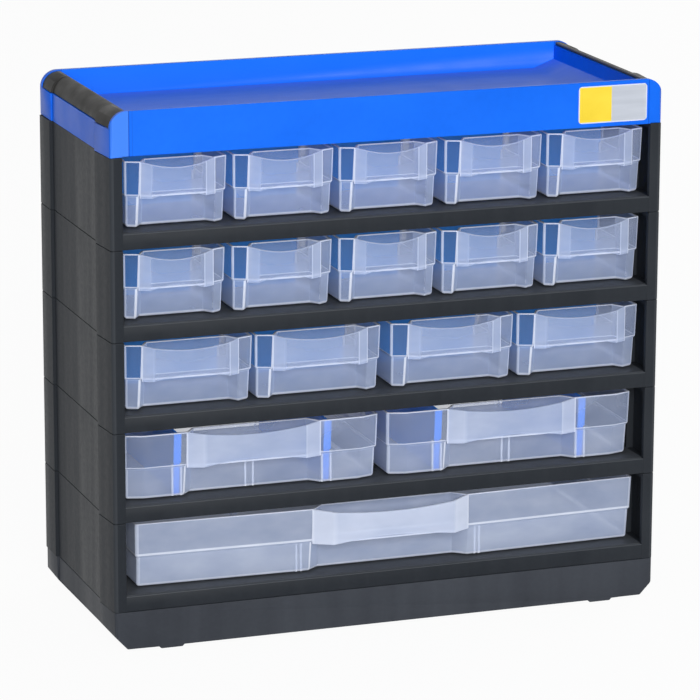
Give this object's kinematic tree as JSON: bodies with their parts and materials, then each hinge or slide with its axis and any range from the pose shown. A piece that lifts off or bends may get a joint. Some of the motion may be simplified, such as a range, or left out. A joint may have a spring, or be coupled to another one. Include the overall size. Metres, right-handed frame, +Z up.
{
  "type": "parts bin cabinet",
  "caption": "Tabletop parts cabinet: stacked dark frames with rows of clear sliding drawers, blue dividers and a blue tray with dark edge caps on top.",
  "frame": {"origin": "middle of the footprint, on the plane that the feet stand on", "axes": "+X to the right across the front, +Y to the back, +Z up; the drawers open towards -Y"},
  "size_m": [0.309, 0.129, 0.2877],
  "materials": {
    "body_charcoal": "fine-grained satin charcoal moulding",
    "tray_blue": "smooth bright blue moulding",
    "cap_black": "soft black moulding",
    "label_film": "bare two-tone label film, yellow and silver",
    "drawer_clear": "translucent frosted-clear moulding",
    "divider_blue": "smooth blue sheet"
  },
  "bodies": {
    "cabinet": {"base": "body_charcoal", "frame_1": "body_charcoal", "frame_2": "body_charcoal", "frame_3": "body_charcoal", "frame_4": "body_charcoal", "frame_5": "body_charcoal", "top_tray": "tray_blue", "tray_cap_left": "cap_black", "tray_cap_right": "cap_black", "label_plate": "label_film"},
    "drawer_1_1": {"drawer_1_1": "drawer_clear", "divider_1_1": "divider_blue"},
    "drawer_1_2": {"drawer_1_2": "drawer_clear", "divider_1_2": "divider_blue"},
    "drawer_1_3": {"drawer_1_3": "drawer_clear", "divider_1_3": "divider_blue"},
    "drawer_1_4": {"drawer_1_4": "drawer_clear", "divider_1_4": "divider_blue"},
    "drawer_1_5": {"drawer_1_5": "drawer_clear", "divider_1_5": "divider_blue"},
    "drawer_2_1": {"drawer_2_1": "drawer_clear", "divider_2_1": "divider_blue"},
    "drawer_2_2": {"drawer_2_2": "drawer_clear", "divider_2_2": "divider_blue"},
    "drawer_2_3": {"drawer_2_3": "drawer_clear", "divider_2_3": "divider_blue"},
    "drawer_2_4": {"drawer_2_4": "drawer_clear", "divider_2_4": "divider_blue"},
    "drawer_2_5": {"drawer_2_5": "drawer_clear", "divider_2_5": "divider_blue"},
    "drawer_3_1": {"drawer_3_1": "drawer_clear", "divider_3_1": "divider_blue"},
    "drawer_3_2": {"drawer_3_2": "drawer_clear", "divider_3_2": "divider_blue"},
    "drawer_3_3": {"drawer_3_3": "drawer_clear", "divider_3_3": "divider_blue"},
    "drawer_3_4": {"drawer_3_4": "drawer_clear", "divider_3_4": "divider_blue"},
    "drawer_4_1": {"drawer_4_1": "drawer_clear", "divider_4_1_left": "divider_blue", "divider_4_1_right": "divider_blue"},
    "drawer_4_2": {"drawer_4_2": "drawer_clear", "divider_4_2_left": "divider_blue", "divider_4_2_right": "divider_blue"},
    "drawer_5_1": {"drawer_5_1": "drawer_clear"}
  },
  "joints": [
    {"name": "slide_1_1", "type": "slide", "parent": "cabinet", "child": "drawer_1_1", "axis": [0, -1, 0], "range_m": [0, 0.1]},
    {"name": "slide_1_2", "type": "slide", "parent": "cabinet", "child": "drawer_1_2", "axis": [0, -1, 0], "range_m": [0, 0.1]},
    {"name": "slide_1_3", "type": "slide", "parent": "cabinet", "child": "drawer_1_3", "axis": [0, -1, 0], "range_m": [0, 0.1]},
    {"name": "slide_1_4", "type": "slide", "parent": "cabinet", "child": "drawer_1_4", "axis": [0, -1, 0], "range_m": [0, 0.1]},
    {"name": "slide_1_5", "type": "slide", "parent": "cabinet", "child": "drawer_1_5", "axis": [0, -1, 0], "range_m": [0, 0.1]},
    {"name": "slide_2_1", "type": "slide", "parent": "cabinet", "child": "drawer_2_1", "axis": [0, -1, 0], "range_m": [0, 0.1]},
    {"name": "slide_2_2", "type": "slide", "parent": "cabinet", "child": "drawer_2_2", "axis": [0, -1, 0], "range_m": [0, 0.1]},
    {"name": "slide_2_3", "type": "slide", "parent": "cabinet", "child": "drawer_2_3", "axis": [0, -1, 0], "range_m": [0, 0.1]},
    {"name": "slide_2_4", "type": "slide", "parent": "cabinet", "child": "drawer_2_4", "axis": [0, -1, 0], "range_m": [0, 0.1]},
    {"name": "slide_2_5", "type": "slide", "parent": "cabinet", "child": "drawer_2_5", "axis": [0, -1, 0], "range_m": [0, 0.1]},
    {"name": "slide_3_1", "type": "slide", "parent": "cabinet", "child": "drawer_3_1", "axis": [0, -1, 0], "range_m": [0, 0.1]},
    {"name": "slide_3_2", "type": "slide", "parent": "cabinet", "child": "drawer_3_2", "axis": [0, -1, 0], "range_m": [0, 0.1]},
    {"name": "slide_3_3", "type": "slide", "parent": "cabinet", "child": "drawer_3_3", "axis": [0, -1, 0], "range_m": [0, 0.1]},
    {"name": "slide_3_4", "type": "slide", "parent": "cabinet", "child": "drawer_3_4", "axis": [0, -1, 0], "range_m": [0, 0.1]},
    {"name": "slide_4_1", "type": "slide", "parent": "cabinet", "child": "drawer_4_1", "axis": [0, -1, 0], "range_m": [0, 0.1]},
    {"name": "slide_4_2", "type": "slide", "parent": "cabinet", "child": "drawer_4_2", "axis": [0, -1, 0], "range_m": [0, 0.1]},
    {"name": "slide_5_1", "type": "slide", "parent": "cabinet", "child": "drawer_5_1", "axis": [0, -1, 0], "range_m": [0, 0.1]}
  ]
}
